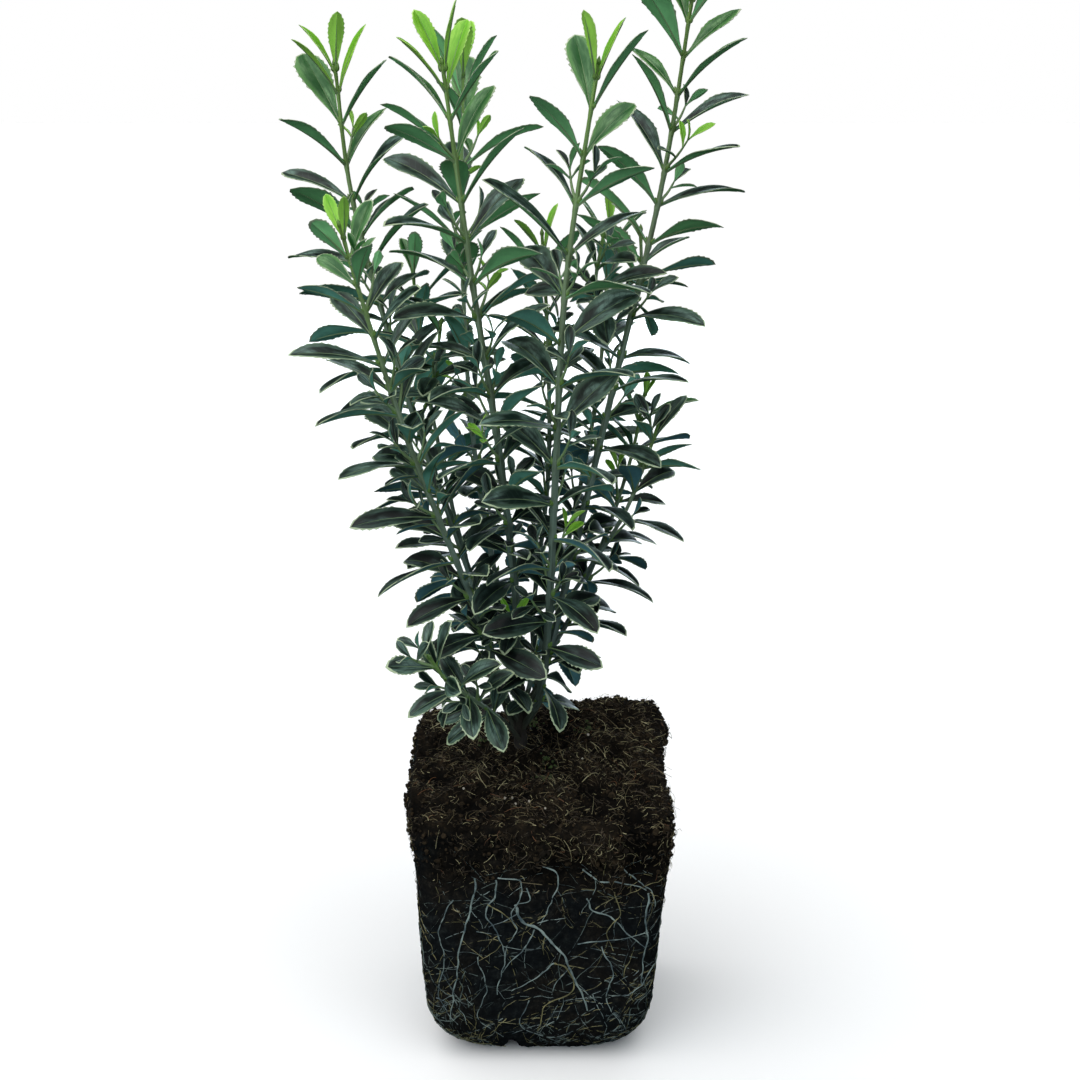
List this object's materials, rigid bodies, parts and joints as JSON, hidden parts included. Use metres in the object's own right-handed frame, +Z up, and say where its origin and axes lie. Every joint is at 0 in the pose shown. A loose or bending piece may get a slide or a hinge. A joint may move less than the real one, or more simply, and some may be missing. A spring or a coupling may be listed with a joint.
{
  "type": "variegated Japanese spindle shrub on its root ball",
  "caption": "Young evergreen spindle shrub: upright shoots with opposite, cream-edged dark leaves, from one woody foot on a square potting-soil root ball.",
  "frame": {"origin": "middle of the flat underside of the root ball", "axes": "+Z up along the shoots; -Y towards the side that the picture shows; +X to its right"},
  "size_m": [0.1413, 0.1328, 0.3506],
  "materials": {
    "soil": "dark crumbly potting soil bound by fine pale roots, matt",
    "bark": "thin grey-brown bark with fine furrows, matt",
    "green_stem": "smooth grey-green young bark, satin",
    "foliage": "leathery dark green leaves with a thin cream margin, low gloss; tips yellow-green"
  },
  "bodies": {
    "root": {"foliage_back_left_low": "foliage", "foliage_back_left_top": "foliage", "foliage_back_middle_low": "foliage", "foliage_back_middle_top": "foliage", "foliage_front_left_low": "foliage", "foliage_front_left_top": "foliage", "foliage_front_middle_low": "foliage", "foliage_front_middle_top": "foliage", "foliage_front_right_low": "foliage", "foliage_front_right_top": "foliage", "foliage_inner": "foliage", "foliage_low_tuft": "foliage", "foliage_rear_left": "foliage", "foliage_rear_middle": "foliage", "foliage_rear_right": "foliage", "foliage_right_low": "foliage", "foliage_right_side": "foliage", "foliage_right_top": "foliage", "foliage_twig_inner": "foliage", "foliage_twig_left": "foliage", "foliage_twig_outer": "foliage", "limb_back_left": "green_stem", "limb_front_left": "green_stem", "limb_front_middle": "green_stem", "limb_front_right": "green_stem", "limb_low_tuft": "green_stem", "limb_rear_middle": "green_stem", "limb_right": "green_stem", "root_ball": "soil", "trunk": "bark"}
  },
  "joints": []
}
